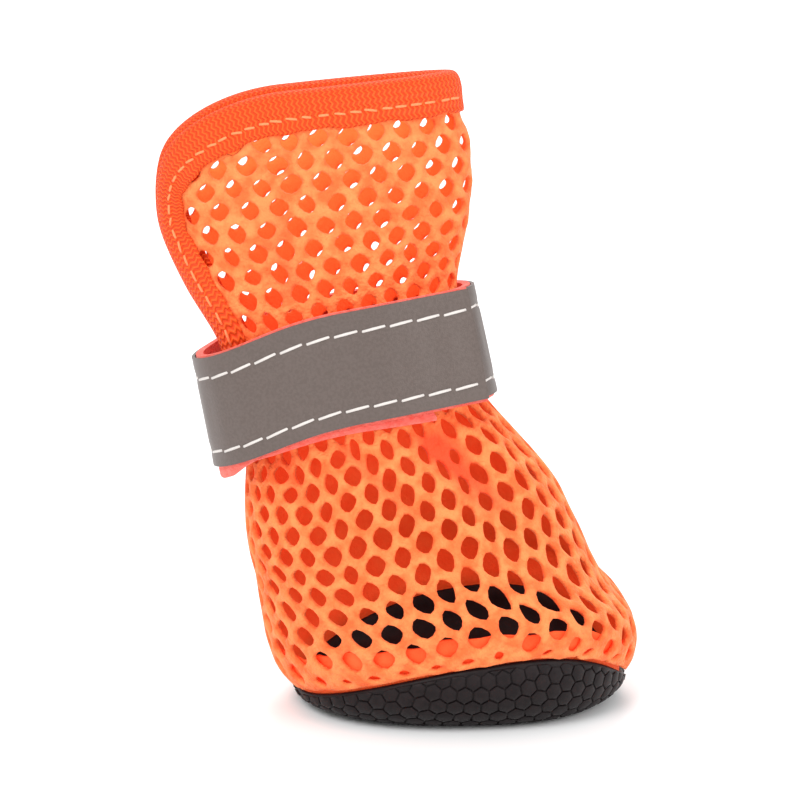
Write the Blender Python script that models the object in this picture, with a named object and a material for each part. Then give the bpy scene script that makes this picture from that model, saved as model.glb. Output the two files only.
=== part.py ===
# Small dog boot: an open-mesh upper on a rubber sole whose rim curls up, with a bound collar and
# heel slit and a reflective wrap strap that closes on a loop patch.
# Metres, +Z up, +X towards the toe, -Y is the side that shows the strap's free end.
import functools
import math

import bmesh
import bpy
import numpy as np

# Driving sizes of the sole
SOLE_LENGTH = 0.0504
SOLE_WIDTH = 0.0440
SOLE_THICKNESS = 0.0018
RIM_HEIGHT_TOE = 0.0034
RIM_HEIGHT_HEEL = 0.0023
RIM_HEIGHT_SIDE = 0.0112
RIM_PEAK_SHIFT = 0.36
RIM_LIFT_POWER = 1.6
CURL_AT_ENDS = 0.0062
CURL_AT_SIDES = 0.0078
INSOLE_THICKNESS = 0.0010
INSOLE_MARGIN = 0.0006

# Driving sizes of the mesh upper
BOOT_HEIGHT = 0.0950
MESH_WALL = 0.0013
SHAFT_LEAN = 0.0075
BULGE_SPAN = 0.0260
SLIT_BELOW_STRAP_TOP = 0.0080
SLIT_GAPE = 0.0022
SLIT_GAPE_SPAN = 0.0060
CORNER_LENGTH = 0.0205
CORNER_HEIGHT = 0.0130

# Driving sizes of the binding
BINDING_WIDTH = 0.0060
BINDING_THICKNESS = 0.0008
BINDING_START_SHARE = 0.6
BINDING_CLEARANCE = 0.0005

# Driving sizes of the strap and its loop patch
STRAP_WIDTH = 0.0165
STRAP_LEVEL = 0.0525
HEEL_DROOP = 0.0042
FRONT_DROOP = 0.0006
TAPE_THICKNESS = 0.0006
BACKING_THICKNESS = 0.0010
PATCH_THICKNESS = 0.0009
PATCH_WIDTH = 0.0155
PATCH_DROP = 0.0018
HEEL_LOOP_GAP = 0.0027
FREE_END = 0.0100

# Clearance kept between neighbouring pieces
GAP = 0.0003

# Turns run round the boot: 0 at the front, positive on the -Y side, 180 degrees at the heel.
STRAP_START_TURN = math.radians(34)
STRAP_END_TURN = math.radians(66)
PATCH_FRONT_TURN = math.radians(60)
PATCH_BACK_TURN = math.radians(158)
STRAIGHT_TURN = math.radians(-270)

# Backward tilt of the strap's cross direction where it stands off the wall
STRAP_TILT = math.radians(10.5)

# Cuts of the wall's outer face, from the seam to the collar. The x columns are shares of SOLE_LENGTH,
# the z columns of BOOT_HEIGHT, half_width of SOLE_WIDTH and lean of SHAFT_LEAN. Roll is in degrees, egg
# is how much wider the toe side is than the heel side, and toe and heel are the outline's powers there.
SECTIONS = (
    # back_x, back_z, front_x, front_z, half_width, lean, roll, egg, toe, heel
    (-0.500, 0.024, 0.500, 0.036, 0.490, 0.00, 0.0, 0.06, 2.2, 2.2),
    (-0.540, 0.044, 0.524, 0.056, 0.501, 0.00, 0.0, 0.06, 2.2, 2.2),
    (-0.570, 0.078, 0.536, 0.084, 0.508, 0.00, 0.0, 0.06, 2.2, 2.2),
    (-0.594, 0.132, 0.520, 0.136, 0.508, 0.00, 0.0, 0.06, 2.2, 2.2),
    (-0.612, 0.200, 0.434, 0.196, 0.482, 0.00, 0.5, 0.06, 2.15, 2.2),
    (-0.638, 0.265, 0.360, 0.281, 0.425, 0.03, 1.5, 0.05, 2.1, 2.2),
    (-0.644, 0.335, 0.280, 0.366, 0.357, 0.08, 3.0, 0.04, 2.05, 2.2),
    (-0.638, 0.400, 0.162, 0.444, 0.296, 0.15, 5.0, 0.03, 2.0, 2.2),
    (-0.646, 0.462, 0.052, 0.510, 0.254, 0.22, 7.0, 0.02, 2.0, 2.2),
    (-0.672, 0.528, 0.010, 0.594, 0.232, 0.32, 8.0, 0.00, 2.0, 2.3),
    (-0.706, 0.590, 0.000, 0.664, 0.228, 0.43, 8.0, 0.00, 2.0, 2.5),
    (-0.798, 0.676, 0.018, 0.734, 0.226, 0.56, 8.0, 0.00, 2.0, 2.7),
    (-0.866, 0.762, 0.038, 0.806, 0.222, 0.70, 8.0, 0.00, 2.0, 2.8),
    (-0.874, 0.856, 0.026, 0.897, 0.214, 0.84, 8.0, 0.00, 2.0, 2.8),
    (-0.858, 0.952, -0.010, 0.993, 0.206, 1.00, 8.0, 0.00, 2.0, 2.8),
)

# Fineness of the meshes
TURNS_ROUND = 52
SOLE_TURNS = 56
CURL_STEPS = 6
RING_SAMPLES = 121
STRAP_STEPS = 74
FREE_END_STEPS = 4
PATCH_STEPS = 22
BINDING_STEPS = 16


def scaled_sections():
    """The section table in metres and radians."""
    share = np.array(SECTIONS)
    scale = [SOLE_LENGTH, BOOT_HEIGHT, SOLE_LENGTH, BOOT_HEIGHT, SOLE_WIDTH, SHAFT_LEAN]
    scale += [math.radians(1), 1.0, 1.0, 1.0]
    return share * scale


ROWS = scaled_sections()
MIDDLES = (ROWS[:, 0:2] + ROWS[:, 2:4]) / 2
LEVELS = np.concatenate([[0.0], np.cumsum(np.linalg.norm(np.diff(MIDDLES, axis=0), axis=1))])
SLOPES = np.gradient(ROWS, LEVELS, axis=0)
COLLAR_LEVEL = LEVELS[-1]
STRAP_LOW = STRAP_LEVEL - STRAP_WIDTH / 2
STRAP_HIGH = STRAP_LEVEL + STRAP_WIDTH / 2
SLIT_LEVEL = STRAP_HIGH - SLIT_BELOW_STRAP_TOP


@functools.lru_cache(maxsize=None)
def section_at(level):
    """The section at a distance along the boot's middle line, smooth between the table's rows."""
    row = int(np.clip(np.searchsorted(LEVELS, level) - 1, 0, len(LEVELS) - 2))
    step = LEVELS[row + 1] - LEVELS[row]
    t = (level - LEVELS[row]) / step
    start, end = ROWS[row], ROWS[row + 1]
    bend = SLOPES[row] * step, SLOPES[row + 1] * step
    return (
        (2 * t**3 - 3 * t**2 + 1) * start
        + (t**3 - 2 * t**2 + t) * bend[0]
        + (3 * t**2 - 2 * t**3) * end
        + (t**3 - t**2) * bend[1]
    )


def smooth_step(value):
    value = min(max(value, 0.0), 1.0)
    return value * value * (3 - 2 * value)


def side_share(turn):
    """Height of the rim's side lift: 0 at toe and heel, 1 at the ball of the foot."""
    return abs(math.sin(turn + RIM_PEAK_SHIFT * math.sin(turn))) ** RIM_LIFT_POWER


def rim_height(turn):
    """Top of the sole's curled rim."""
    toe_share = (1 + math.cos(turn)) / 2
    end = RIM_HEIGHT_HEEL + (RIM_HEIGHT_TOE - RIM_HEIGHT_HEEL) * toe_share
    return end + (RIM_HEIGHT_SIDE - end) * side_share(turn)


def outline_point(turn, half_length, half_width, egg, toe, heel):
    """A point of one section's outline, seen along the boot."""
    square = toe if math.cos(turn) > 0 else heel
    along = abs(math.cos(turn)) ** (2 / square) * math.copysign(1, math.cos(turn))
    across = abs(math.sin(turn)) ** (2 / square) * math.copysign(1, math.sin(turn))
    return half_length * along, -half_width * across * (1 + egg * math.cos(turn))


def face_point(turn, level):
    """A point of the wall's outer face."""
    back_x, back_z, front_x, front_z, half_width, lean, roll, egg, toe, heel = section_at(level)
    chord = math.hypot(front_x - back_x, front_z - back_z)
    x, y = outline_point(turn, chord / 2, half_width, egg, toe, heel)
    run, rise = (front_x - back_x) / chord, (front_z - back_z) / chord
    z = (back_z + front_z) / 2 + x * rise - y * math.sin(roll)
    if level < BULGE_SPAN:
        seam_back, seam_front = ROWS[0][1], ROWS[0][3]
        flat = seam_back + (seam_front - seam_back) * (0.5 + x / chord)
        z += (rim_height(turn) + GAP - flat) * (1 - smooth_step(level / BULGE_SPAN))
    return np.array([(back_x + front_x) / 2 + x * run, lean + y * math.cos(roll), z])


def wall_point(turn, level, out=0.0):
    """A point at a distance out from the wall's outer face, or inside it where out is below 0."""
    level = min(max(level, 0.0), COLLAR_LEVEL)
    middle = face_point(turn, level)
    if out == 0.0:
        return middle
    low, high = max(level - 2e-4, 0.0), min(level + 2e-4, COLLAR_LEVEL)
    along = face_point(turn, high) - face_point(turn, low)
    around = face_point(turn + 2e-3, level) - face_point(turn - 2e-3, level)
    normal = np.cross(along, around)
    normal /= np.linalg.norm(normal)
    return middle + normal * out


@functools.lru_cache(maxsize=None)
def half_ring(level):
    """Turns from front to heel on one side, and the distance round the wall to each."""
    turns = np.linspace(0, math.pi, RING_SAMPLES)
    points = np.array([face_point(turn, level) for turn in turns])
    steps = np.linalg.norm(np.diff(points, axis=0), axis=1)
    return turns, np.concatenate([[0.0], np.cumsum(steps)])


def edge_distance(level):
    """Distance round the wall from the front to the slit's edge or the rounded collar corner."""
    distance = half_ring(level)[1][-1]
    distance -= SLIT_GAPE * smooth_step((level - SLIT_LEVEL) / SLIT_GAPE_SPAN)
    above = min(max((level - COLLAR_LEVEL) / CORNER_HEIGHT + 1, 0.0), 1.0)
    return distance - CORNER_LENGTH * (1 - math.sqrt(1 - above**2))


def turn_at(level, distance):
    """The turn at a distance round the wall from the front, with its sign."""
    turns, distances = half_ring(level)
    return math.copysign(np.interp(abs(distance), distances, turns), distance)


def finish(name, points, faces, colour, roughness, smooth_angle=40):
    """Makes a named object of points and faces, smooth but for its sharp edges."""
    mesh = bpy.data.meshes.new(name)
    mesh.from_pydata([tuple(point) for point in points], [], faces)
    shell = bmesh.new()
    shell.from_mesh(mesh)
    bmesh.ops.recalc_face_normals(shell, faces=shell.faces)
    shell.to_mesh(mesh)
    shell.free()
    mesh.shade_smooth()
    mesh.set_sharp_from_angle(angle=math.radians(smooth_angle))
    material = bpy.data.materials.new(name)
    material.use_nodes = True
    shader = material.node_tree.nodes["Principled BSDF"]
    shader.inputs["Base Color"].default_value = (*colour, 1.0)
    shader.inputs["Roughness"].default_value = roughness
    shader.inputs["Metallic"].default_value = 0.0
    mesh.materials.append(material)
    made = bpy.data.objects.new(name, mesh)
    bpy.context.scene.collection.objects.link(made)
    return made


def ring_faces(first, second, count, closed=True):
    """Quads between two rows of points, given the index at which each row starts."""
    last = count if closed else count - 1
    return [
        (first + i, first + (i + 1) % count, second + (i + 1) % count, second + i)
        for i in range(last)
    ]


def build_sole():
    """Rubber sheet: flat underfoot, with a rim that curls up on all sides."""
    turns = [2 * math.pi * i / SOLE_TURNS for i in range(SOLE_TURNS)]
    bends = [math.pi / 2 * i / CURL_STEPS for i in range(CURL_STEPS + 1)]
    points, rows = [], []

    def add_row(bend, inside):
        rows.append(len(points))
        for turn in turns:
            rim = face_point(turn, 0.0)[:2]
            reach = np.linalg.norm(rim)
            across = abs(math.sin(turn)) ** 2
            curl = CURL_AT_ENDS + (CURL_AT_SIDES - CURL_AT_ENDS) * across
            width = curl - (SOLE_THICKNESS if inside else 0.0)
            base = SOLE_THICKNESS if inside else 0.0
            plan = rim * (reach - curl + width * math.sin(bend)) / reach
            z = base + (rim_height(turn) - base) * (1 - math.cos(bend))
            points.append((*plan, z))

    for bend in bends:
        add_row(bend, inside=False)
    for bend in reversed(bends):
        add_row(bend, inside=True)
    faces = [tuple(range(row, row + SOLE_TURNS)) for row in (rows[0], rows[-1])]
    for low, high in zip(rows, rows[1:]):
        faces += ring_faces(low, high, SOLE_TURNS)
    return finish("sole", points, faces, (0.035, 0.032, 0.031), 0.55)


def build_insole():
    """Thin liner that lies on the sole's flat floor."""
    base = SOLE_THICKNESS + GAP
    points, rows = [], []
    for z in (base, base + INSOLE_THICKNESS):
        rows.append(len(points))
        for i in range(SOLE_TURNS):
            turn = 2 * math.pi * i / SOLE_TURNS
            rim = face_point(turn, 0.0)[:2]
            reach = np.linalg.norm(rim)
            across = abs(math.sin(turn)) ** 2
            curl = CURL_AT_ENDS + (CURL_AT_SIDES - CURL_AT_ENDS) * across
            points.append((*(rim * (reach - curl - INSOLE_MARGIN) / reach), z))
    faces = [tuple(range(row, row + SOLE_TURNS)) for row in rows]
    faces += ring_faces(rows[0], rows[1], SOLE_TURNS)
    return finish("insole", points, faces, (0.02, 0.02, 0.022), 0.9)


def upper_levels():
    """Levels of the upper's rows, closer together at the seam, the slit's end and the corner."""
    low = [BULGE_SPAN * share for share in (0.0, 0.08, 0.18, 0.3, 0.45, 0.62, 0.8)]
    foot = list(np.linspace(BULGE_SPAN, SLIT_LEVEL, 8))
    corner = COLLAR_LEVEL - CORNER_HEIGHT
    gape = [SLIT_LEVEL + SLIT_GAPE_SPAN * share for share in (0.3, BINDING_START_SHARE)]
    shaft = gape + list(np.linspace(SLIT_LEVEL + SLIT_GAPE_SPAN, corner, 4))
    bends = [math.radians(angle) for angle in (18, 32, 44, 54, 64, 73, 82, 90)]
    round_end = [corner + CORNER_HEIGHT * math.sin(bend) for bend in bends]
    return low + foot, shaft + round_end


def build_upper():
    """Hollow mesh wall: a closed ring up to the slit, and two flaps joined at the front above it."""
    closed_levels, open_levels = upper_levels()
    half = TURNS_ROUND // 2
    points = ([], [])
    for side, out in ((0, 0.0), (1, -MESH_WALL)):
        for level in closed_levels:
            length = half_ring(level)[1][-1]
            for i in range(-half, half):
                turn = turn_at(level, length * i / half) if i else 0.0
                points[side].append(wall_point(turn, level, out))
        for level in open_levels:
            length = edge_distance(level)
            for i in range(-half, half + 1):
                turn = turn_at(level, length * i / half) if i else 0.0
                points[side].append(wall_point(turn, level, out))
    closed_rows = [i * TURNS_ROUND for i in range(len(closed_levels))]
    start = len(closed_levels) * TURNS_ROUND
    wide = TURNS_ROUND + 1
    open_rows = [start + i * wide for i in range(len(open_levels))]
    shell = []
    for low, high in zip(closed_rows, closed_rows[1:]):
        shell += ring_faces(low, high, TURNS_ROUND)
    last = closed_rows[-1]
    for i in range(TURNS_ROUND):
        after = last + (i + 1) % TURNS_ROUND
        shell.append((last + i, after, open_rows[0] + i + 1, open_rows[0] + i))
    for low, high in zip(open_rows, open_rows[1:]):
        shell += ring_faces(low, high, wide, closed=False)
    inner = len(points[0])
    faces = shell + [tuple(i + inner for i in face) for face in shell]
    bottom = list(range(TURNS_ROUND)) + [0]
    left = [last] + open_rows
    right = [last] + [row + TURNS_ROUND for row in open_rows]
    top = list(range(open_rows[-1], open_rows[-1] + wide))
    for edge in (bottom, left, right, top):
        faces += [(a, b, b + inner, a + inner) for a, b in zip(edge, edge[1:])]
    return finish("upper", points[0] + points[1], faces, (1.0, 0.25, 0.06), 0.8)


def binding_path():
    """Places along the flap's edge as (distance from the front, level), from front to slit bottom."""
    reach = edge_distance(COLLAR_LEVEL)
    path = [(reach * share, COLLAR_LEVEL) for share in np.linspace(0, 1, BINDING_STEPS)]
    bottom = SLIT_LEVEL + SLIT_GAPE_SPAN * BINDING_START_SHARE
    for level in reversed(upper_levels()[1][:-1]):
        if level >= bottom:
            path.append((edge_distance(level), level))
    return np.array(path)


def build_binding():
    """Knit tape folded over the collar and down both edges of the slit."""
    near = binding_path()
    path = np.concatenate([near[:0:-1] * (-1, 1), near])
    ahead = np.gradient(path, axis=0)
    ahead /= np.linalg.norm(ahead, axis=1)[:, None]
    inward = np.stack([ahead[:, 1], -ahead[:, 0]], axis=1)
    inner, outer = -MESH_WALL - BINDING_CLEARANCE, BINDING_CLEARANCE
    skin = BINDING_THICKNESS
    lip = -GAP
    profile = (
        (BINDING_WIDTH, outer), (BINDING_WIDTH, outer + skin), (BINDING_WIDTH / 2, outer + skin),
        (0.0, outer + skin), (lip - skin * 0.8, outer + skin * 0.3),
        (lip - skin * 0.8, inner - skin * 0.3), (0.0, inner - skin),
        (BINDING_WIDTH / 2, inner - skin), (BINDING_WIDTH, inner - skin), (BINDING_WIDTH, inner),
        (BINDING_WIDTH / 2, inner), (lip, inner), (lip, outer), (BINDING_WIDTH / 2, outer),
    )
    points = []
    for (distance, level), way in zip(path, inward):
        for depth, out in profile:
            spot = np.array([distance, level]) + way * max(depth, 0.0)
            turn = turn_at(min(spot[1], COLLAR_LEVEL), spot[0]) if abs(spot[0]) > 1e-9 else 0.0
            place = wall_point(turn, spot[1], out)
            if depth < 0:
                inside = np.array([distance, level]) + way * 0.0005
                back = wall_point(turn_at(inside[1], inside[0]), inside[1], out)
                away = place - back
                place = place + away / np.linalg.norm(away) * -depth
            points.append(place)
    size = len(profile)
    faces = []
    for i in range(len(path) - 1):
        faces += ring_faces(i * size, (i + 1) * size, size)
    faces.append(tuple(range(size)))
    faces.append(tuple(range((len(path) - 1) * size, len(path) * size)))
    return finish("binding", points, faces, (1.0, 0.16, 0.03), 0.75)


def strap_stations():
    """The strap's route as (turn, distance out of the wall) for its inner face, start to end."""
    layer = BACKING_THICKNESS + TAPE_THICKNESS + GAP
    over_patch = 2 * GAP + PATCH_THICKNESS
    over_start = 2 * GAP + layer
    stations = []
    start, end = STRAP_START_TURN, STRAP_END_TURN - 2 * math.pi
    for i in range(STRAP_STEPS + 1):
        turn = start + (end - start) * i / STRAP_STEPS
        degrees = math.degrees(turn)
        loose = smooth_step((-degrees - 95) / 75) * smooth_step((degrees + 270) / 80)
        rest = GAP + (over_patch - GAP) * smooth_step((-degrees - 150) / 40)
        rest += (over_start - over_patch) * smooth_step((-degrees - 235) / 50)
        stations.append((turn, rest + (HEEL_LOOP_GAP - over_patch / 2) * loose))
    return stations


def droop_at(turn):
    """How far the strap and its patch sink at the heel and at the front, by their cut."""
    return (HEEL_DROOP if math.cos(turn) < 0 else FRONT_DROOP) * math.cos(turn) ** 2


def strap_edges(turn, out):
    """Lower and upper edge of the strap where its inner face is this far out of the wall."""
    low = wall_point(turn, STRAP_LOW - droop_at(turn), out)
    high = wall_point(turn, STRAP_HIGH - droop_at(turn), out)
    middle = (low + high) / 2
    held = max(turn, STRAIGHT_TURN)
    rise = wall_point(held, STRAP_HIGH, out) - wall_point(held, STRAP_LOW, out)
    rise /= np.linalg.norm(rise)
    tilted = np.array([-math.sin(STRAP_TILT), rise[1], math.cos(STRAP_TILT)])
    rise += (tilted - rise) * smooth_step((-math.degrees(turn) - 100) / 60)
    rise *= STRAP_WIDTH / 2 / np.linalg.norm(rise)
    return middle - rise, middle + rise


def build_band(name, inner, thickness, colour, roughness):
    """One layer of the strap, from its sewn start to its straight free end."""
    points = []
    for turn, out in strap_stations():
        low_in, high_in = strap_edges(turn, out + inner)
        low_out, high_out = strap_edges(turn, out + inner + thickness)
        points.append((low_in, low_out, high_out, high_in))
    ahead = np.array(points[-1]) - np.array(points[-2])
    ahead = ahead.mean(axis=0)
    ahead /= np.linalg.norm(ahead)
    for i in range(1, FREE_END_STEPS + 1):
        points.append(np.array(points[STRAP_STEPS]) + ahead * FREE_END * i / FREE_END_STEPS)
    faces = []
    for i in range(len(points) - 1):
        faces += ring_faces(4 * i, 4 * i + 4, 4)
    end = 4 * (len(points) - 1)
    faces += [(0, 1, 2, 3), (end, end + 1, end + 2, end + 3)]
    flat = [corner for station in points for corner in station]
    return finish(name, flat, faces, colour, roughness)


def build_patch():
    """Loop patch sewn flat on the mesh under the strap's last turn."""
    low, high = STRAP_LEVEL - PATCH_WIDTH / 2 - PATCH_DROP, STRAP_LEVEL + PATCH_WIDTH / 2 - PATCH_DROP
    points = []
    for i in range(PATCH_STEPS + 1):
        turn = PATCH_BACK_TURN + (PATCH_FRONT_TURN - PATCH_BACK_TURN) * i / PATCH_STEPS
        for level, out in (
            (low, GAP), (low, GAP + PATCH_THICKNESS),
            (high, GAP + PATCH_THICKNESS), (high, GAP),
        ):
            points.append(wall_point(turn, level - droop_at(turn), out))
    faces = []
    for i in range(PATCH_STEPS):
        faces += ring_faces(4 * i, 4 * i + 4, 4)
    end = 4 * PATCH_STEPS
    faces += [(0, 1, 2, 3), (end, end + 1, end + 2, end + 3)]
    return finish("loop_patch", points, faces, (1.0, 0.22, 0.2), 0.9)


for old in list(bpy.data.objects):
    bpy.data.objects.remove(old, do_unlink=True)

build_sole()
build_insole()
build_upper()
build_binding()
build_patch()
build_band("strap_backing", 0.0, BACKING_THICKNESS, (1.0, 0.2, 0.18), 0.85)
build_band("strap_tape", BACKING_THICKNESS + GAP, TAPE_THICKNESS, (0.2, 0.18, 0.17), 0.45)
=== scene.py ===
"""A small dog boot: orange net on a black rubber sole, a bound collar and a reflective wrap strap."""
import math

import bpy
import numpy as np
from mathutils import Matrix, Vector


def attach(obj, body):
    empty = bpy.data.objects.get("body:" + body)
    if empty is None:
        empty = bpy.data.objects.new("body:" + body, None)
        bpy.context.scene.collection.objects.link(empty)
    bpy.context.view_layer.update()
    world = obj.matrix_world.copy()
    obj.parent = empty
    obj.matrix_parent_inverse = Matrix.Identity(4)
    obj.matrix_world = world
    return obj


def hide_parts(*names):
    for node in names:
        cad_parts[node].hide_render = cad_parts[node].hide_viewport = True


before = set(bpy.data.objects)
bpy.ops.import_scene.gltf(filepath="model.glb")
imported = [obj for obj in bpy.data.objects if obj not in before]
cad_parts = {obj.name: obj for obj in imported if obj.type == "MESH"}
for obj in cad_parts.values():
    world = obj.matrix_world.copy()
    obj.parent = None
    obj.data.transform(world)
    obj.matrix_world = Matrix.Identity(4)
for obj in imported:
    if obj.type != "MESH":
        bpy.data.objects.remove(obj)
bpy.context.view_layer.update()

# Studio: a wide pale floor, a bright even sky and three large soft lamps round the boot. The camera looks
# at its near side from 5 degrees round towards the heel and 15 degrees above the floor.
CAMERA_AZIMUTH = math.radians(5)
CAMERA_ELEVATION = math.radians(15)
CAMERA_DISTANCE = 0.75
CAMERA_TARGET = Vector((-0.0090, 0.0, 0.0465))
PIXELS_PER_MM = 6.7
SENSOR = 36.0
PICTURE = 800

look = Vector((
    math.sin(CAMERA_AZIMUTH) * math.cos(CAMERA_ELEVATION),
    math.cos(CAMERA_AZIMUTH) * math.cos(CAMERA_ELEVATION),
    -math.sin(CAMERA_ELEVATION),
))
camera_data = bpy.data.cameras.new("camera")
camera_data.sensor_width = SENSOR
camera_data.lens = PIXELS_PER_MM * 1000 * CAMERA_DISTANCE * SENSOR / PICTURE
camera_data.clip_start = 0.01
camera_data.clip_end = 20
camera = bpy.data.objects.new("camera", camera_data)
camera.location = CAMERA_TARGET - look * CAMERA_DISTANCE
camera.rotation_euler = look.to_track_quat("-Z", "Y").to_euler()
bpy.context.scene.collection.objects.link(camera)
bpy.context.scene.camera = camera
bpy.context.scene.view_settings.view_transform = "Standard"
bpy.context.scene.view_settings.look = "None"


def material(name, colour, roughness):
    """A new Principled material, with its node tree and shader."""
    made = bpy.data.materials.new(name)
    made.use_nodes = True
    shader = made.node_tree.nodes["Principled BSDF"]
    shader.inputs["Base Color"].default_value = (*colour, 1.0)
    shader.inputs["Roughness"].default_value = roughness
    return made, made.node_tree, shader


FLOOR_SIZE = 6.0
bpy.ops.mesh.primitive_plane_add(size=FLOOR_SIZE, location=(0, 0, 0))
floor = bpy.context.object
floor.name = "studio_floor"
floor.data.materials.append(material("studio_floor", (0.93, 0.93, 0.93), 0.65)[0])

# name, x, y, z, size, power: metres and watts, each lamp turned to the boot's middle
LAMPS = (
    ("key_lamp", -0.55, -0.75, 0.95, 0.70, 9.0),
    ("fill_lamp", 0.80, -0.60, 0.55, 0.70, 4.0),
    ("rim_lamp", 0.10, 0.85, 0.90, 0.60, 6.0),
)
for name, x, y, z, size, power in LAMPS:
    lamp_data = bpy.data.lights.new(name, "AREA")
    lamp_data.shape = "DISK"
    lamp_data.size = size
    lamp_data.energy = power
    lamp = bpy.data.objects.new(name, lamp_data)
    lamp.location = (x, y, z)
    lamp.rotation_euler = (CAMERA_TARGET - lamp.location).to_track_quat("-Z", "Y").to_euler()
    bpy.context.scene.collection.objects.link(lamp)

sky = bpy.data.worlds.new("studio_sky")
sky.use_nodes = True
sky.node_tree.nodes["Background"].inputs["Color"].default_value = (1.0, 1.0, 1.0, 1.0)
sky.node_tree.nodes["Background"].inputs["Strength"].default_value = 0.95
bpy.context.scene.world = sky

# Upper: an open net knitted of thick polyester yarn, cut in one piece, closed to a tube below the strap and
# left open at the heel above it. Its cells are stretched wide over the ball of the foot and gathered to
# narrow pleats where the strap draws it in.
SOLE_LENGTH = 0.0504
SOLE_WIDTH = 0.0440
RIM_HEIGHT_TOE = 0.0034
RIM_HEIGHT_HEEL = 0.0023
RIM_HEIGHT_SIDE = 0.0112
RIM_PEAK_SHIFT = 0.36
RIM_LIFT_POWER = 1.6
BOOT_HEIGHT = 0.0950
SHAFT_LEAN = 0.0075
BULGE_SPAN = 0.0260
SLIT_BELOW_STRAP_TOP = 0.0080
SLIT_GAPE = 0.0022
SLIT_GAPE_SPAN = 0.0060
CORNER_LENGTH = 0.0205
CORNER_HEIGHT = 0.0130
STRAP_WIDTH = 0.0165
STRAP_LEVEL = 0.0525
HEEL_DROOP = 0.0042
FRONT_DROOP = 0.0006
GAP = 0.0003

# Cuts of the wall's outer face, from the seam to the collar. The x columns are shares of SOLE_LENGTH,
# the z columns of BOOT_HEIGHT, half_width of SOLE_WIDTH and lean of SHAFT_LEAN. Roll is in degrees, egg
# is how much wider the toe side is than the heel side, and toe and heel are the outline's powers there.
SECTIONS = (
    # back_x, back_z, front_x, front_z, half_width, lean, roll, egg, toe, heel
    (-0.500, 0.024, 0.500, 0.036, 0.490, 0.00, 0.0, 0.06, 2.2, 2.2),
    (-0.540, 0.044, 0.524, 0.056, 0.501, 0.00, 0.0, 0.06, 2.2, 2.2),
    (-0.570, 0.078, 0.536, 0.084, 0.508, 0.00, 0.0, 0.06, 2.2, 2.2),
    (-0.594, 0.132, 0.520, 0.136, 0.508, 0.00, 0.0, 0.06, 2.2, 2.2),
    (-0.612, 0.200, 0.434, 0.196, 0.482, 0.00, 0.5, 0.06, 2.15, 2.2),
    (-0.638, 0.265, 0.360, 0.281, 0.425, 0.03, 1.5, 0.05, 2.1, 2.2),
    (-0.644, 0.335, 0.280, 0.366, 0.357, 0.08, 3.0, 0.04, 2.05, 2.2),
    (-0.638, 0.400, 0.162, 0.444, 0.296, 0.15, 5.0, 0.03, 2.0, 2.2),
    (-0.646, 0.462, 0.052, 0.510, 0.254, 0.22, 7.0, 0.02, 2.0, 2.2),
    (-0.672, 0.528, 0.010, 0.594, 0.232, 0.32, 8.0, 0.00, 2.0, 2.3),
    (-0.706, 0.590, 0.000, 0.664, 0.228, 0.43, 8.0, 0.00, 2.0, 2.5),
    (-0.798, 0.676, 0.018, 0.734, 0.226, 0.56, 8.0, 0.00, 2.0, 2.7),
    (-0.866, 0.762, 0.038, 0.806, 0.222, 0.70, 8.0, 0.00, 2.0, 2.8),
    (-0.874, 0.856, 0.026, 0.897, 0.214, 0.84, 8.0, 0.00, 2.0, 2.8),
    (-0.858, 0.952, -0.010, 0.993, 0.206, 1.00, 8.0, 0.00, 2.0, 2.8),
)
ROWS = np.array(SECTIONS) * [
    SOLE_LENGTH, BOOT_HEIGHT, SOLE_LENGTH, BOOT_HEIGHT, SOLE_WIDTH, SHAFT_LEAN, math.radians(1), 1, 1, 1,
]


def run_lengths(points):
    """Distance along a line of points, from the first one to each."""
    return np.concatenate([[0.0], np.cumsum(np.linalg.norm(np.diff(points, axis=0), axis=1))])


LEVELS = run_lengths((ROWS[:, 0:2] + ROWS[:, 2:4]) / 2)
SLOPES = np.gradient(ROWS, LEVELS, axis=0)
COLLAR_LEVEL = LEVELS[-1]
STRAP_LOW = STRAP_LEVEL - STRAP_WIDTH / 2
STRAP_HIGH = STRAP_LEVEL + STRAP_WIDTH / 2
SLIT_LEVEL = STRAP_HIGH - SLIT_BELOW_STRAP_TOP


def smooth_step(value):
    value = np.clip(value, 0.0, 1.0)
    return value * value * (3 - 2 * value)


def unit(vectors):
    """The vectors at length 1."""
    return vectors / np.linalg.norm(vectors, axis=-1, keepdims=True)


def rim_height(turn):
    """Top of the sole's curled rim: low at toe and heel, highest beside the ball of the foot."""
    side = np.abs(np.sin(turn + RIM_PEAK_SHIFT * np.sin(turn))) ** RIM_LIFT_POWER
    end = RIM_HEIGHT_HEEL + (RIM_HEIGHT_TOE - RIM_HEIGHT_HEEL) * (1 + np.cos(turn)) / 2
    return end + (RIM_HEIGHT_SIDE - end) * side


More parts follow.
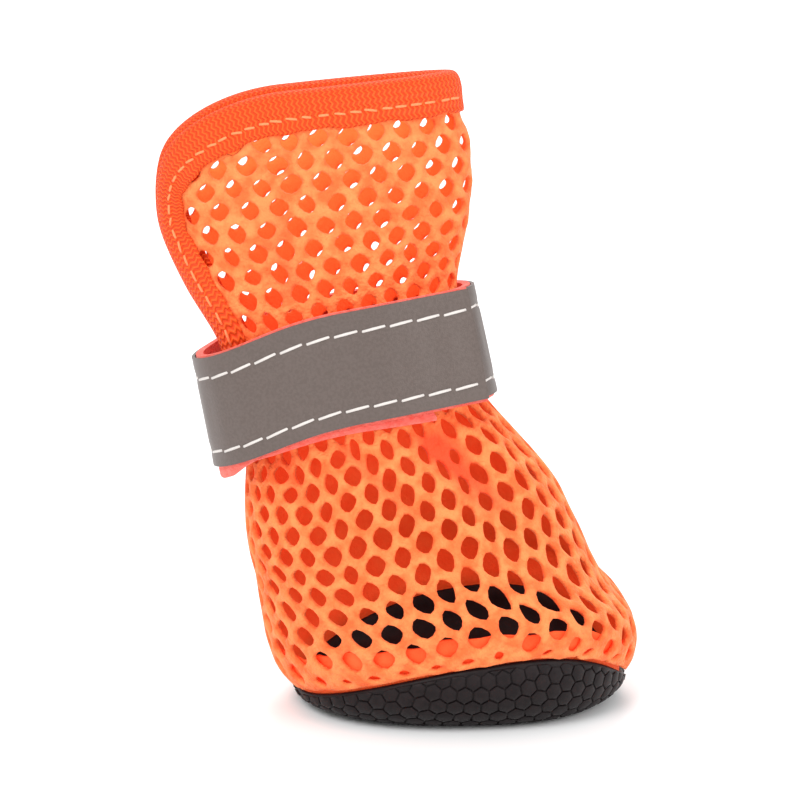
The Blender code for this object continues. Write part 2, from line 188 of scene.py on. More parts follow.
def face_points(turn, level):
    """Points of the wall's outer face. Turn 0 is the front, positive on the -Y side, pi the heel."""
    turn, level = np.broadcast_arrays(np.asarray(turn, float), np.asarray(level, float))
    level = np.clip(level, 0.0, COLLAR_LEVEL)
    row = np.clip(np.searchsorted(LEVELS, level) - 1, 0, len(LEVELS) - 2)
    step = (LEVELS[row + 1] - LEVELS[row])[..., None]
    t = (level - LEVELS[row])[..., None] / step
    values = (
        (2 * t**3 - 3 * t**2 + 1) * ROWS[row] + (t**3 - 2 * t**2 + t) * SLOPES[row] * step
        + (3 * t**2 - 2 * t**3) * ROWS[row + 1] + (t**3 - t**2) * SLOPES[row + 1] * step
    )
    back_x, back_z, front_x, front_z, half_width, lean, roll, egg, toe, heel = np.moveaxis(values, -1, 0)
    chord = np.hypot(front_x - back_x, front_z - back_z)
    cosine, sine = np.cos(turn), np.sin(turn)
    power = 2 / np.where(cosine > 0, toe, heel)
    x = chord / 2 * np.abs(cosine) ** power * np.sign(cosine)
    y = -half_width * np.abs(sine) ** power * np.sign(sine) * (1 + egg * cosine)
    z = (back_z + front_z) / 2 + x * (front_z - back_z) / chord - y * np.sin(roll)
    flat = ROWS[0, 1] + (ROWS[0, 3] - ROWS[0, 1]) * (0.5 + x / chord)
    z += (rim_height(turn) + GAP - flat) * (1 - smooth_step(level / BULGE_SPAN))
    x = (back_x + front_x) / 2 + x * (front_x - back_x) / chord
    return np.stack([x, lean + y * np.cos(roll), z], axis=-1)


def wall_points(turn, level, out=0.0):
    """Points at a distance out from the wall's outer face, or inside it where out is below 0."""
    turn, level, out = np.broadcast_arrays(*(np.asarray(v, float) for v in (turn, level, out)))
    level = np.clip(level, 0.0, COLLAR_LEVEL)
    low, high = np.maximum(level - 2e-4, 0.0), np.minimum(level + 2e-4, COLLAR_LEVEL)
    along = face_points(turn, high) - face_points(turn, low)
    around = face_points(turn + 2e-3, level) - face_points(turn - 2e-3, level)
    return face_points(turn, level) + unit(np.cross(along, around)) * out[..., None]


TABLE_LEVELS = np.linspace(0, COLLAR_LEVEL, 90)
TABLE_TURNS = np.linspace(0, math.pi, 181)
RING_POINTS = face_points(TABLE_TURNS[None, :], TABLE_LEVELS[:, None])
RING_STEPS = np.linalg.norm(np.diff(RING_POINTS, axis=1), axis=2)
RING_LENGTHS = np.insert(np.cumsum(RING_STEPS, axis=1), 0, 0, axis=1)
HALF_LENGTHS = RING_LENGTHS[:, -1]


def half_length(level):
    """Distance round the wall from the front to the heel."""
    return np.interp(level, TABLE_LEVELS, HALF_LENGTHS)


def table_row(level):
    """The tables' row below a level and the share of the way to the next one."""
    place = np.clip(level / COLLAR_LEVEL, 0, 1) * (len(TABLE_LEVELS) - 1)
    row = np.clip(place.astype(int), 0, len(TABLE_LEVELS) - 2)
    return row, place - row


def turn_at(level, distance):
    """The turn at a distance round the wall from the front, with its sign."""
    level, distance = np.broadcast_arrays(np.asarray(level, float), np.asarray(distance, float))
    low, share = table_row(level)
    share_round = np.abs(distance) / half_length(level)
    turns = np.empty(level.shape)
    for i in np.ndindex(level.shape):
        ring = [
            np.interp(share_round[i], RING_LENGTHS[row] / HALF_LENGTHS[row], TABLE_TURNS)
            for row in (low[i], low[i] + 1)
        ]
        turns[i] = ring[0] + (ring[1] - ring[0]) * share[i]
    return np.copysign(turns, distance)


def edge_distance(level):
    """Distance round the wall from the front to the slit's edge or the rounded collar corner."""
    above = np.clip((level - COLLAR_LEVEL) / CORNER_HEIGHT + 1, 0, 1)
    gape = SLIT_GAPE * smooth_step((level - SLIT_LEVEL) / SLIT_GAPE_SPAN)
    return half_length(level) - gape - CORNER_LENGTH * (1 - np.sqrt(1 - above**2))


def droop_at(turn):
    """How far the strap and what lies under it sink at the heel and at the front."""
    return np.where(np.cos(turn) < 0, HEEL_DROOP, FRONT_DROOP) * np.cos(turn) ** 2


# Soft troughs and ridges of the net, in millimetres: the distance round from the front (positive on the
# near side) and the level where each starts and ends, its half width and its depth, below 0 for a trough.
CREASES = (
    # start_round, start_level, end_round, end_level, width, depth
    (17.5, 46.0, 18.5, 33.0, 4.0, -2.3),
    (24.5, 45.0, 26.0, 34.0, 2.0, 0.8),
    (30.5, 45.0, 31.5, 31.0, 2.2, -1.1),
    (9.0, 45.0, 13.0, 29.0, 2.6, 1.1),
    (36.0, 44.0, 38.0, 30.0, 2.4, 0.8),
    (43.0, 44.0, 45.0, 33.0, 2.2, -0.9),
    (-1.0, 45.0, -2.0, 36.0, 2.2, -0.8),
    (-9.0, 45.0, -11.0, 32.0, 2.4, 0.9),
    (-16.0, 45.0, -20.0, 30.0, 2.8, -1.5),
    (-25.0, 45.0, -28.0, 34.0, 2.4, 0.8),
    (-33.0, 45.0, -37.0, 31.0, 2.8, -1.4),
    (-42.0, 44.0, -46.0, 33.0, 2.4, 0.7),
    (10.0, 62.0, 12.0, 72.0, 3.0, -0.7),
    (20.0, 62.0, 23.0, 78.0, 4.0, 0.6),
    (30.0, 62.0, 34.0, 76.0, 3.4, -0.8),
    (-12.0, 62.0, -14.0, 76.0, 3.4, -0.9),
    (-26.0, 62.0, -28.0, 74.0, 3.4, 0.6),
    (-36.0, 62.0, -39.0, 74.0, 3.0, -0.7),
    (0.0, 87.0, 0.0, 72.0, 6.5, 1.0),
)


def crease_depth(distance, level):
    """How far the folds move the net out of its plain form."""
    place = np.stack([distance, level], axis=-1) * 1000
    total = np.zeros(place.shape[:-1])
    for start_round, start_level, end_round, end_level, width, depth in CREASES:
        start = np.array([start_round, start_level])
        run = np.array([end_round, end_level]) - start
        share = np.clip((place - start) @ run / (run @ run), 0, 1)
        away = np.linalg.norm(place - start - share[..., None] * run, axis=-1)
        total += depth / 1000 * np.exp(-((away / width) ** 2)) * (1 - CREASE_FADE * share)
    return total


NET_DEPTH = -0.00065  # middle of the net, from the wall's outer face
NET_THICKNESS = 0.00100
YARN_HALF = 0.00056
NET_COLUMN = 0.0020
NET_ROW = 0.00315
NET_EDGE = 0.17  # length of a cell's upright edge, as a share of NET_ROW
FOOT_PAIRS = 33
SHAFT_PAIRS = 25
TOE_SKEW = 0.0120
NET_HOLE_HALF = 0.0022
CELL_SPREAD = 0.2  # share by which the rows near the seam are spread
SPREAD_HEIGHT = 0.014
HOLE_WIDTH = 0.98  # share of the plain hole's width and length
HOLE_LENGTH = 1.10
SHUT_CELL = 0.4  # size of the inner ring of a cell that stays shut
SEAM_BAND = 0.0005
SEAM_HOLES = 0.00115  # height of the small flat holes above the seam
SEAM_FRINGE = 0.00045
STRAP_COVER = 1.6  # rows of shut cells above and below the join under the strap
COLLAR_COVER = 0.0060
SLIT_COVER = 0.0058
DEEP_FOLD = -0.0014
NET_WANDER = 0.00020
EDGE_FADE = 0.0040  # run over which folds and wander end at the net's edges
CREASE_FADE = 0.55
SHAFT_FAR_OPENNESS = 0.60
FOOT_FAR_OPENNESS = 0.90
rng = np.random.default_rng(7)


def select_only(*objects):
    """Deselects all and selects these objects, the first one active."""
    bpy.ops.object.select_all(action="DESELECT")
    for thing in objects:
        thing.select_set(True)
    bpy.context.view_layer.objects.active = objects[0]


def apply_modifiers(thing):
    """Applies every modifier of an object, in order."""
    select_only(thing)
    for modifier in list(thing.modifiers):
        bpy.ops.object.modifier_apply(modifier=modifier.name)


def edit_all(thing):
    """Opens a mesh in edit mode with all of it selected."""
    select_only(thing)
    bpy.ops.object.mode_set(mode="EDIT")
    bpy.ops.mesh.select_all(action="SELECT")


def join_as(name, *pieces):
    """Joins pieces into the first one, which takes this name."""
    select_only(*pieces)
    bpy.ops.object.join()
    pieces[0].name = pieces[0].data.name = name
    return pieces[0]


def mesh_points(thing):
    return np.array([point.co[:] for point in thing.data.vertices])


def move_points(thing, places):
    thing.data.vertices.foreach_set("co", places.astype(np.float32).ravel())


SIN_60 = 0.866


def cell_lattice(column, row, edge, pairs, rows, start):
    """A flat sheet of six-sided cells, their columns and rows this far apart, the first row at start."""
    bpy.ops.mesh.primitive_circle_add(vertices=6, radius=1, fill_type="NGON", location=(0, 0, 0))
    cell = bpy.context.object
    for point in cell.data.vertices:
        side = round(point.co.x / SIN_60)
        reach = edge if side else 1 - edge
        point.co = (side * column, math.copysign(reach, point.co.y) * row, 0)
    for offset, count in (((2 * column, 0, 0), pairs), ((0, 2 * row, 0), rows // 2 + 1)):
        repeat = cell.modifiers.new("repeat", "ARRAY")
        repeat.use_relative_offset = False
        repeat.use_constant_offset = True
        repeat.constant_offset_displace = offset
        repeat.count = count
    apply_modifiers(cell)
    between = cell.copy()
    between.data = cell.data.copy()
    bpy.context.scene.collection.objects.link(between)
    for point in between.data.vertices:
        point.co += Vector((column, row, 0))
    edit_all(join_as("cells", cell, between))
    bpy.ops.mesh.remove_doubles(threshold=1e-5)
    bpy.ops.object.mode_set(mode="OBJECT")
    for point in cell.data.vertices:
        point.co.x -= (pairs - 1) * column
        point.co.y += start
    return cell


def keep_cells(sheet, wanted):
    """Deletes the cells of a flat sheet whose centres aren't wanted."""
    edit_all(sheet)
    bpy.ops.mesh.select_mode(type="FACE")
    bpy.ops.mesh.select_all(action="DESELECT")
    bpy.ops.object.mode_set(mode="OBJECT")
    centres = np.array([face.center[:2] for face in sheet.data.polygons])
    for face, keep in zip(sheet.data.polygons, wanted(*centres.T)):
        face.select = not keep
    bpy.ops.object.mode_set(mode="EDIT")
    bpy.ops.mesh.delete(type="FACE")
    bpy.ops.object.mode_set(mode="OBJECT")


def open_cells(sheet, openness):
    """Opens each cell inside half a yarn, by its hole's size across and up and its lift. Size 0 is shut."""
    edit_all(sheet)
    bpy.ops.mesh.select_mode(type="FACE")
    bpy.ops.mesh.inset(thickness=YARN_HALF, use_individual=True, use_even_offset=True)
    bpy.ops.object.mode_set(mode="OBJECT")
    mesh = sheet.data
    inner = [face for face in mesh.polygons if face.select]
    centres = np.array([face.center[:2] for face in inner])
    for face, (across, up, lift) in zip(inner, openness(*centres.T)):
        centre = face.center.copy()
        face.select = bool(across > 0)
        if across <= 0:
            across, up, lift = SHUT_CELL, SHUT_CELL, 0.0
        for index in face.vertices:
            point = mesh.vertices[index]
            away = point.co - centre
            away = (away.x * across * HOLE_WIDTH, away.y * up * HOLE_LENGTH + lift, 0)
            point.co = centre + Vector(away)
    bpy.ops.object.mode_set(mode="EDIT")
    bpy.ops.mesh.delete(type="ONLY_FACE")
    bpy.ops.object.mode_set(mode="OBJECT")


def cut_sheet(sheet, line, keep_above):
    """Cuts a flat sheet along the curve y = line(x) and keeps the part above or below it."""
    for point in sheet.data.vertices:
        point.co.y -= float(line(point.co.x))
    edit_all(sheet)
    bpy.ops.mesh.bisect(
        plane_co=(0, 0, 0), plane_no=(0, 1, 0), clear_inner=keep_above, clear_outer=not keep_above,
        threshold=1e-6,
    )
    bpy.ops.object.mode_set(mode="OBJECT")
    for point in sheet.data.vertices:
        point.co.y += float(line(point.co.x))


def lay_on_wall(sheet, distance, level, fold):
    """Moves a flat sheet's points to their places on the wall and keeps how deep each one's fold is."""
    loose = smooth_step(level / EDGE_FADE) * smooth_step((COLLAR_LEVEL - level) / EDGE_FADE)
    loose *= smooth_step((half_length(level) - 0.001 - np.abs(distance)) / EDGE_FADE) * NET_WANDER
    rise = np.sin(distance * 610 + level * 270) + 0.4 * np.sin(distance * 1130 - level * 890)
    level = level + loose * rise
    drift = np.sin(level * 710 - distance * 340) + 0.4 * np.sin(level * 1370 + distance * 960)
    distance = distance + loose * drift
    move_points(sheet, wall_points(turn_at(level, distance), level, NET_DEPTH + fold))
    # The fold depth is kept for the net's painted shade in its troughs.
    kept = sheet.data.attributes.new("fold", "FLOAT", "POINT")
    kept.data.foreach_set("value", (fold * 1000).astype(np.float32))


def seam_lift(turn):
    """How far the sole's rim raises the seam above its lowest course."""
    return rim_height(turn) + GAP - (ROWS[0, 1] + ROWS[0, 3]) / 2


def foot_turn(x):
    """Rough turn of a place on the foot's flat net, which closes to a tube at the heel."""
    return (x / (NET_COLUMN * FOOT_PAIRS) + 1) % 2 * math.pi - math.pi


def toe_skew(x):
    """How far the net's rows climb from heel to toe."""
    return TOE_SKEW * smooth_step((2.6 - np.abs(foot_turn(x))) / 2.2)


def seam_line(x):
    return seam_lift(foot_turn(x)) - toe_skew(x)


def join_line(x):
    """Where the foot's net meets the shaft's, under the middle of the strap."""
    return STRAP_LEVEL - droop_at(foot_turn(x)) - toe_skew(x)


def foot_level(height, turn):
    """The wall's level at a height in the net, which the ball of the foot spreads and the rim lifts."""
    low, high = np.zeros_like(height), np.full_like(height, COLLAR_LEVEL)
    for _ in range(30):
        middle = (low + high) / 2
        spread = middle - CELL_SPREAD * SPREAD_HEIGHT * (1 - np.exp(-middle / SPREAD_HEIGHT))
        raised = spread + seam_lift(turn) * (1 - smooth_step(middle / BULGE_SPAN))
        low, high = np.where(raised < height, middle, low), np.where(raised < height, high, middle)
    return (low + high) / 2


def foot_fold(distance, level):
    """Depth of the folds below the strap, which fade out under it and along the heel."""
    heel = smooth_step((half_length(level) - np.abs(distance)) / 0.006)
    return crease_depth(distance, level) * smooth_step((STRAP_LOW - 0.0005 - level) / EDGE_FADE) * heel


def foot_place(x, y):
    """Distance round and level of a place on the foot's flat net, and how its fold moves it."""
    turn = foot_turn(x)
    level = foot_level(y + toe_skew(x), turn)
    distance = turn / math.pi * half_length(level)
    return distance, level, foot_fold(distance, level)


def foot_openness(x, y):
    """Shut in the deep fold and under the strap, small above the seam and flat right at it."""
    fold = foot_place(x, y)[2]
    share = rng.uniform(0.94, 1.06, len(x))
    share *= 1 - (1 - FOOT_FAR_OPENNESS) * smooth_step(0.5 - 1.4 * np.sin(foot_turn(x)))
    share *= 1 - 0.45 * smooth_step((-fold * 1000 - 0.7) / 0.8)
    above = y - seam_line(x)
    share = np.minimum(share, (above - SEAM_BAND) / NET_HOLE_HALF * rng.uniform(0.9, 1.0, len(x)))
    low = (above > -0.0001) & (share < 0.36)  # too near the seam for a full hole
    across = np.where(low, rng.uniform(0.40, 0.62, len(x)), share)
    up = np.where(low, rng.uniform(0.17, 0.25, len(x)), share)
    shut = (across < 0.16) | (y > join_line(x) - STRAP_COVER * NET_ROW) | (fold < DEEP_FOLD)
    return np.stack([np.where(shut, 0, across), up, np.where(low, SEAM_HOLES - above, 0)], axis=1)


ROWS_BELOW = 4
FOOT_ROWS = int(STRAP_LEVEL / NET_ROW) + ROWS_BELOW + 3
foot = cell_lattice(NET_COLUMN, NET_ROW, NET_EDGE, FOOT_PAIRS, FOOT_ROWS, -ROWS_BELOW * NET_ROW)
open_cells(foot, foot_openness)
cut_sheet(foot, seam_line, keep_above=True)
cut_sheet(foot, join_line, keep_above=False)
flat = mesh_points(foot)
distance, level, fold = foot_place(flat[:, 0], flat[:, 1])
fringe = rng.uniform(0, SEAM_FRINGE, len(flat)) * (np.abs(flat[:, 0]) < NET_COLUMN * (FOOT_PAIRS - 2))
level = np.where(flat[:, 1] < seam_line(flat[:, 0]) + 1e-5, fringe, level)
lay_on_wall(foot, distance, level, fold)


def shaft_bottom(x):
    turn = np.clip(x / (NET_COLUMN * SHAFT_PAIRS), -1, 1) * math.pi
    return STRAP_LEVEL + 0.0002 - droop_at(turn)


def collar_line(x):
    return COLLAR_LEVEL - 0.0004


def edge_room(x, y):
    """Distance from a place on the shaft's flat net to the slit's edge."""
    level = np.minimum(y, COLLAR_LEVEL)
    return edge_distance(level) - np.abs(x) / (NET_COLUMN * SHAFT_PAIRS) * half_length(level)


def inside_edge(x, y):
    return edge_room(x, y) > 0.0012


def shaft_openness(x, y):
    share = rng.uniform(0.86, 1.04, len(x)) * (1 - (1 - SHAFT_FAR_OPENNESS) * smooth_step(0.5 - x / 0.012))
    shut = (y < shaft_bottom(x) + STRAP_COVER * NET_ROW) | (y > COLLAR_LEVEL - COLLAR_COVER)
    shut |= edge_room(x, y) < SLIT_COVER
    return np.stack([np.where(shut, 0, share), share, np.zeros(len(x))], axis=1)


SHAFT_START = COLLAR_LEVEL - 0.0066 - 16 * NET_ROW
SHAFT_ROWS = int((COLLAR_LEVEL - SHAFT_START) / NET_ROW) + 3
shaft = cell_lattice(NET_COLUMN, NET_ROW, NET_EDGE, SHAFT_PAIRS, SHAFT_ROWS, SHAFT_START)
keep_cells(shaft, inside_edge)
open_cells(shaft, shaft_openness)
cut_sheet(shaft, shaft_bottom, keep_above=True)
cut_sheet(shaft, collar_line, keep_above=False)
flat = mesh_points(shaft)
level = flat[:, 1]
share_round = np.clip(flat[:, 0] / (NET_COLUMN * SHAFT_PAIRS), -1, 1)
limit = edge_distance(level) - 0.0003
distance = np.clip(share_round * half_length(level), -limit, limit)
clear = smooth_step((level - STRAP_HIGH - 0.001) / EDGE_FADE)
clear *= smooth_step((limit - np.abs(distance) - 0.006) / EDGE_FADE)
clear *= smooth_step((COLLAR_LEVEL - 0.005 - level) / EDGE_FADE)
lay_on_wall(shaft, distance, level, crease_depth(distance, level) * clear)

net = join_as("net_upper", foot, shaft)
edit_all(net)
bpy.ops.mesh.remove_doubles(threshold=2e-5)
bpy.ops.mesh.flip_normals()  # the flat sheets face inward once they lie on the wall
bpy.ops.object.mode_set(mode="OBJECT")


def add_node(tree, kind, **settings):
    """A shader node, with its settings, or its input values where a name has none."""
    node = tree.nodes.new(kind)
    for key, value in settings.items():
        if hasattr(node, key):
            setattr(node, key, value)
        else:
            node.inputs[key.replace("_", " ")].default_value = value
    return node


def colour_ramp(tree, low, high, start, end):
    """A ramp from one colour to another."""
    ramp = add_node(tree, "ShaderNodeValToRGB")
    for stop, colour, position in zip(ramp.color_ramp.elements, (low, high), (start, end)):
        stop.position = position
        stop.color = (*colour, 1)
    return ramp


def two_tone(tree, shader, low, high, scale, detail=3.0):
    """Mottles the colour between two tones by a noise in the object's own coordinates."""
    spot = add_node(tree, "ShaderNodeTexCoord")
    tone = add_node(tree, "ShaderNodeTexNoise", Scale=scale, Detail=detail)
    ramp = colour_ramp(tree, low, high, 0.36, 0.62)
    tree.links.new(spot.outputs["Object"], tone.inputs["Vector"])
    tree.links.new(tone.outputs["Fac"], ramp.inputs["Fac"])
    tree.links.new(ramp.outputs["Color"], shader.inputs["Base Color"])
    return spot, ramp


def noise_bump(tree, shader, spot, scale, strength, distance):
    """Raises a fine grain on the surface."""
    grain = add_node(tree, "ShaderNodeTexNoise", Scale=scale, Detail=2.0)
    bump = add_node(tree, "ShaderNodeBump", Strength=strength, Distance=distance)
    tree.links.new(spot.outputs["Object"], grain.inputs["Vector"])
    tree.links.new(grain.outputs["Fac"], bump.inputs["Height"])
    tree.links.new(bump.outputs["Normal"], shader.inputs["Normal"])


def add_sheen(shader, weight, colour):
    """Gives cloth its soft bloom."""
    for name, value in (("Weight", weight), ("Roughness", 0.5), ("Tint", colour)):
        shader.inputs["Sheen " + name].default_value = value


def tint(tree, shader, ramp, value, start, end, colour):
    """Turns the mottled colour into another one as a value goes from start to end."""
    share = add_node(tree, "ShaderNodeMapRange", From_Min=start, From_Max=end)
    mixed = add_node(tree, "ShaderNodeMix", data_type="RGBA")
    mixed.inputs[7].default_value = (*colour, 1)
    tree.links.new(value, share.inputs["Value"])
    tree.links.new(share.outputs["Result"], mixed.inputs["Factor"])
    tree.links.new(ramp.outputs["Color"], mixed.inputs[6])
    tree.links.new(mixed.outputs[2], shader.inputs["Base Color"])


def thicken(thing, thickness, smooth_levels=0, inside=0):
    """Gives a sheet its thickness, to both sides alike. Its inside's material is this many slots on."""
    wall = thing.modifiers.new("wall", "SOLIDIFY")
    wall.thickness = thickness
    wall.offset = 0
    wall.material_offset = inside
    if smooth_levels:
        soft = thing.modifiers.new("soft", "SUBSURF")
        soft.levels = soft.render_levels = smooth_levels
    apply_modifiers(thing)


# The net is painted a deeper red in the troughs of its folds, as painted shade. Its inside is a painted
# shaded copy of the net's colour: deeper red, paler in the shaft where light falls in, and giving off a
# little painted glow.
net_outside, tree, shader = material("net_outside", (0.95, 0.2, 0.05), 0.8)
add_sheen(shader, 0.2, (1.0, 0.62, 0.35, 1.0))
spot, ramp = two_tone(tree, shader, (0.91, 0.125, 0.020), (0.98, 0.235, 0.062), 420.0)
noise_bump(tree, shader, spot, 1300.0, 0.9, 0.0006)
fold = add_node(tree, "ShaderNodeAttribute", attribute_name="fold")
# Painted shade: the colour turns a deeper red as a fold's trough deepens.
tint(tree, shader, ramp, fold.outputs["Fac"], -0.2, -1.3, (0.90, 0.060, 0.008))
# Painted shade: the inside is a deeper red copy of the net's colour.
net_inside_painted_shade_glow, tree, shader = material("net_inside_painted_shade_glow", (0.94, 0.10, 0.02), 0.85)
# Painted glow: the inside gives off a little light of its own, though it is no lamp.
shader.inputs["Emission Color"].default_value = (1.0, 0.10, 0.015, 1.0)
shader.inputs["Emission Strength"].default_value = 0.16
spot, ramp = two_tone(tree, shader, (0.92, 0.085, 0.014), (0.96, 0.125, 0.028), 260.0)
noise_bump(tree, shader, spot, 2600.0, 0.5, 0.00025)
height = add_node(tree, "ShaderNodeSeparateXYZ")
tree.links.new(spot.outputs["Object"], height.inputs["Vector"])
# Painted light: the inside turns paler higher up, in the shaft.
tint(tree, shader, ramp, height.outputs["Z"], 0.050, 0.066, (0.97, 0.225, 0.042))
net.data.materials.append(net_outside)
net.data.materials.append(net_inside_painted_shade_glow)
thicken(net, NET_THICKNESS, smooth_levels=1, inside=1)
bpy.ops.object.shade_smooth()


def lay_grid(name, across, along, place):
    """A grid of this many faces, moved to where place puts its shares of the width and the length."""
    bpy.ops.mesh.primitive_grid_add(x_subdivisions=across, y_subdivisions=along, size=1, location=(0, 0, 0))
    made = bpy.context.object
    made.name = made.data.name = name
    flat = mesh_points(made) + 0.5
    move_points(made, place(flat[:, 0], flat[:, 1]))
    return made


def face_outward(thing, merge=True):
    """Merges a mesh's doubles where asked, then turns its faces outward."""
    edit_all(thing)
    if merge:
        bpy.ops.mesh.remove_doubles(threshold=1e-5)
    bpy.ops.mesh.normals_make_consistent(inside=False)
    bpy.ops.object.mode_set(mode="OBJECT")


# The net's lower edge is turned in and lies double behind the lowest cells. On the far side a thin lining
# of the same colour goes on from it, up inside the foot to the strap, and follows the folds.
HEM_HEIGHT = 0.0056
HEM_DEPTH = -0.00150
HEM_THICKNESS = 0.0003
HEM_SUNK = 0.00015


def distance_at(turn, level):
    """Distance round the wall from the front to a turn, with its sign."""
    low, share = table_row(level)
    below, above = np.array([
        [np.interp(abs(a), TABLE_TURNS, RING_LENGTHS[row]) for a, row in zip(turn, rows)]
        for rows in (low, low + 1)
    ])
    return np.copysign(below + (above - below) * share, turn)


def hem_place(u, v):
    turn = (2 * u - 1) * math.pi
    top = HEM_HEIGHT + 0.0004 * np.sin(turn * 9) + 0.0003 * np.sin(turn * 23 + 1)
    lined = smooth_step((-np.sin(turn) - 0.06) / 0.22)
    level = v * (top + (STRAP_LEVEL - droop_at(turn) - top) * lined)
    fold = np.minimum(foot_fold(distance_at(turn, level), level), 0)
    places = wall_points(turn, level, HEM_DEPTH + fold - 0.0002 * np.sin(turn * 31) * v)
    places[:, 2] = np.where(v < 0.01, rim_height(turn) - HEM_SUNK, places[:, 2])
    return places


hem = lay_grid("hem", 120, 26, hem_place)
face_outward(hem)
thicken(hem, HEM_THICKNESS)
# The hem and its lining carry the inside's painted shade and painted glow.
hem.data.materials.append(net_inside_painted_shade_glow)
join_as("net_upper", net, hem)
bpy.ops.object.shade_smooth()
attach(net, "root")
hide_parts("upper")

# Binding: a knitted tape folded over the collar and down both edges of the heel slit, held by one row of
# thick pale thread that runs through all its layers.
BINDING_WIDTH = 0.0060
BINDING_THICKNESS = 0.0008
BINDING_START_SHARE = 0.6
BINDING_FACES = 300
BINDING_WAVER = 0.00022  # of the tape's two edges, along the cloth and away from it
BINDING_RIPPLE = 0.00009
THREAD_DEPTH = 0.0033
# depth below the fold and distance out of the wall of the tape's middle, millimetres, from the outer edge
BINDING_FOLD = np.array((
    (5.4, 0.12), (4.7, 0.26), (3.3, 0.34), (2.6, 0.54), (1.7, 0.66), (0.8, 0.64), (0.2, 0.50),
    (-0.22, 0.26), (-0.42, -0.14), (-0.50, -0.65), (-0.42, -1.16), (-0.22, -1.56), (0.2, -1.82),
    (0.8, -1.94), (1.7, -1.96), (2.6, -1.86), (3.3, -1.66), (4.3, -1.72), (5.2, -1.62),
))


def binding_route():
    """Places along the edge as (distance from the front, level), evenly spaced from end to end."""
    reach = float(edge_distance(COLLAR_LEVEL))
    corner = COLLAR_LEVEL - CORNER_HEIGHT
    top = [(share * reach, COLLAR_LEVEL) for share in np.linspace(0, 1, 30, endpoint=False)]
    bends = np.linspace(math.pi / 2, 0, 40, endpoint=False)
    levels = np.concatenate([
        corner + CORNER_HEIGHT * np.sin(bends),
        np.linspace(corner, SLIT_LEVEL + SLIT_GAPE_SPAN * BINDING_START_SHARE, 30),
    ])
    near = np.array(top + list(zip(edge_distance(levels), levels)))
    route = np.concatenate([near[:0:-1] * (-1, 1), near])
    run = run_lengths(route)
    even = np.linspace(0, run[-1], BINDING_FACES + 1)
    return np.stack([np.interp(even, run, line) for line in route.T], axis=1), run[-1]


ROUTE, ROUTE_LENGTH = binding_route()
STEPS = np.pad(np.gradient(ROUTE, axis=0), ((4, 4), (0, 0)), mode="edge")
AHEAD = unit(np.stack([np.convolve(line, np.ones(9) / 9, "valid") for line in STEPS.T], axis=1))
INWARD = np.stack([AHEAD[:, 1], -AHEAD[:, 0]], axis=1)


def binding_points(run, depth, out):
    """Points on the folded tape, by the share of its run, the depth below its fold and the way out."""
    place, steps = run * BINDING_FACES, np.arange(BINDING_FACES + 1)
    start = np.stack([np.interp(place, steps, line) for line in ROUTE.T], axis=1)
    way = np.stack([np.interp(place, steps, line) for line in INWARD.T], axis=1)
    spot = start + way * np.maximum(depth, 0)[:, None]
    spot[:, 1] = np.minimum(spot[:, 1], COLLAR_LEVEL)
    points = wall_points(turn_at(spot[:, 1], spot[:, 0]), spot[:, 1], out)
    inside = start + way * 0.0005
    back = wall_points(turn_at(inside[:, 1], inside[:, 0]), inside[:, 1], out)
    away = points - back
    size = np.maximum(np.linalg.norm(away, axis=1), 1e-6)[:, None]
    return np.where((depth < 0)[:, None], points - away / size * depth[:, None], points)


def binding_place(u, v):
    step = np.round(v * (len(BINDING_FOLD) - 1)).astype(int)
    depth, out = BINDING_FOLD[step].T / 1000
    run = u * ROUTE_LENGTH
    low = np.clip(depth / BINDING_WIDTH, 0, 1)
    depth += low**2 * BINDING_WAVER * (np.sin(run * 620) + 0.6 * np.sin(run * 1370 + 2))
    out += BINDING_RIPPLE * np.sin(run * 900 + 1) * np.sign(out) * low
    return binding_points(u, depth, out)


binding = lay_grid("bound_collar", BINDING_FACES, len(BINDING_FOLD) - 1, binding_place)
thicken(binding, BINDING_THICKNESS - 0.00015, smooth_levels=1)
bpy.ops.object.shade_smooth()
knit, tree, shader = material("binding_knit", (0.86, 0.070, 0.006), 0.6)
shader.inputs["Specular IOR Level"].default_value = 0.25
ramp = colour_ramp(tree, (0.74, 0.050, 0.004), (0.92, 0.110, 0.013), 0.15, 0.85)
# The knit's ribs are fine zigzags along the tape, read from its own map of length and width.
KNIT_RIB = 0.0008
KNIT_ZIGZAGS = 32.0
KNIT_SLANT = 3.2
own_map = add_node(tree, "ShaderNodeUVMap", uv_map="UVMap")
parts = add_node(tree, "ShaderNodeSeparateXYZ")
tree.links.new(own_map.outputs["UV"], parts.inputs["Vector"])


def knit_maths(operation, *values):
    """A maths node of the knit, fed by sockets and plain numbers, as its result's socket."""
    node = add_node(knit.node_tree, "ShaderNodeMath", operation=operation)
    for socket, value in zip(node.inputs, values):
        if isinstance(value, float):
            socket.default_value = value
        else:
            knit.node_tree.links.new(value, socket)
    return node.outputs["Value"]


along = knit_maths("MULTIPLY", parts.outputs["X"], ROUTE_LENGTH / KNIT_RIB * 2 * math.pi)
across = knit_maths("MULTIPLY", parts.outputs["Y"], KNIT_ZIGZAGS)
zigzag = knit_maths("PINGPONG", across, 1.0)
wave = knit_maths("SINE", knit_maths("MULTIPLY_ADD", zigzag, KNIT_SLANT, along))
bump = add_node(tree, "ShaderNodeBump", Strength=0.7, Distance=0.00022)
tree.links.new(knit_maths("MULTIPLY_ADD", wave, 0.5, 0.5), ramp.inputs["Fac"])
tree.links.new(ramp.outputs["Color"], shader.inputs["Base Color"])
tree.links.new(wave, bump.inputs["Height"])
tree.links.new(bump.outputs["Normal"], shader.inputs["Normal"])
binding.data.materials.append(knit)
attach(binding, "root")
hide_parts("binding")


THREAD_FLATNESS = 0.85
THREAD_DIP = 0.75  # how far a stitch's ends sink into the cloth, in radii


